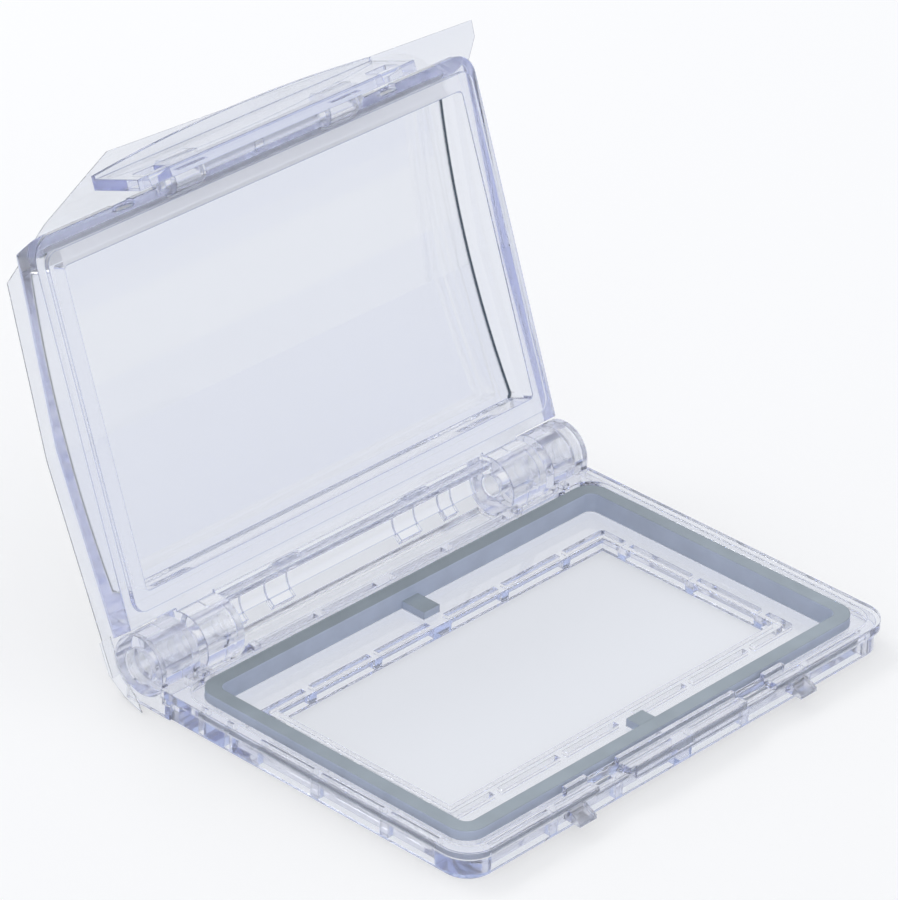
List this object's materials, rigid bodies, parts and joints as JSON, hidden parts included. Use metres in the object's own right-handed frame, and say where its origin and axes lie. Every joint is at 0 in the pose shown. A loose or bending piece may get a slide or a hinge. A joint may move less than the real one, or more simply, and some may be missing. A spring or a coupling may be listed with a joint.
{
  "type": "hinged splash-proof instrument cover",
  "caption": "Clear rectangular panel frame with a grey gasket and a domed see-through lid on a hinge, held shut by a rocking latch bar, with a loose protective film.",
  "frame": {"origin": "centre of the instrument opening, in the plane where the base frame meets the panel", "axes": "+X along the hinge, to the right seen from the latch side; +Y from the latch side to the hinge; +Z out of the panel"},
  "size_m": [0.1325, 0.1305, 0.0956],
  "materials": {
    "base_clear": "clear moulded polycarbonate, polished, with a faint blue tint",
    "gasket_rubber": "matt grey rubber",
    "lid_clear": "clear moulded polycarbonate, polished, with a faint blue tint",
    "latch_clear": "clear moulded polycarbonate, polished",
    "pin_clear": "clear moulded plastic, polished",
    "film_clear": "thin clear film with soft creases"
  },
  "bodies": {
    "base": {"base_frame": "base_clear", "lid_gasket": "gasket_rubber", "hinge_pin_left": "pin_clear", "hinge_pin_right": "pin_clear"},
    "lid": {"lid": "lid_clear", "protective_film": "film_clear"},
    "latch": {"latch_bar": "latch_clear"}
  },
  "joints": [
    {"name": "lid_hinge", "type": "hinge", "parent": "base", "child": "lid", "pos_m": [0, 0.0463, 0.00825], "axis": [1, 0, 0], "range_deg": [0, 110]},
    {"name": "latch_pivot", "type": "hinge", "parent": "lid", "child": "latch", "pos_m": [0, 0.07524, 0.08892], "axis": [-1, 0, 0], "range_deg": [0, 32]}
  ]
}
